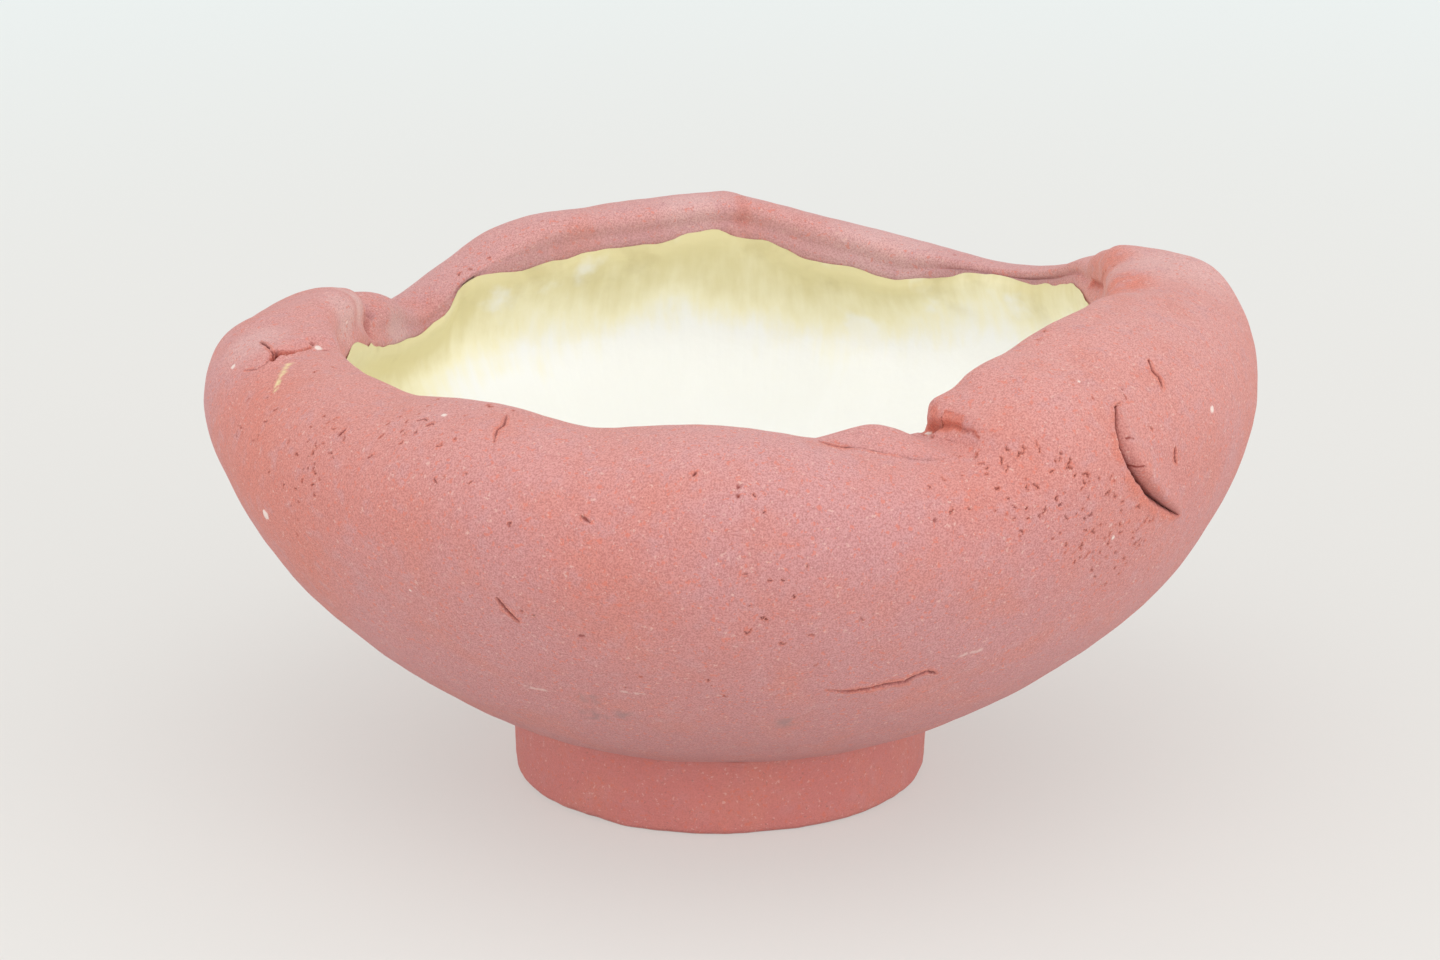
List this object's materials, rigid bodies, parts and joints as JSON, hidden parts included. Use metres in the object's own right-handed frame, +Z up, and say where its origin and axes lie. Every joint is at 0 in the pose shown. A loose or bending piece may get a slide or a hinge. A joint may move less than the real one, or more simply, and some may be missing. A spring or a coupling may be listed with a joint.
{
  "type": "yarn bowl",
  "caption": "Hand-built red clay bowl with a wavy, lapped, inward-curling rim, a ring foot and a gilded inside, for keeping a ball of yarn in place.",
  "frame": {"origin": "on the table, under the middle of the belly", "axes": "+Z up out of the mouth; -Y is the front, where the lip is most even; +X is the side where the rim stands highest"},
  "size_m": [0.1481, 0.1474, 0.0763],
  "materials": {
    "red_clay": "matt unglazed grogged red earthenware",
    "clay_slip": "matt fired slip",
    "metal_leaf": "glossy pale gold leaf"
  },
  "bodies": {
    "root": {"bowl_wall": "red_clay", "rim_pad_front": "red_clay", "rim_pad_right": "red_clay", "rim_pad_back_right": "red_clay", "rim_pad_back_left": "red_clay", "rim_pad_left": "red_clay", "rim_filler": "red_clay", "thumb_patch": "red_clay", "foot_ring": "red_clay", "slip_bed": "clay_slip", "leaf_lining": "metal_leaf"}
  },
  "joints": []
}
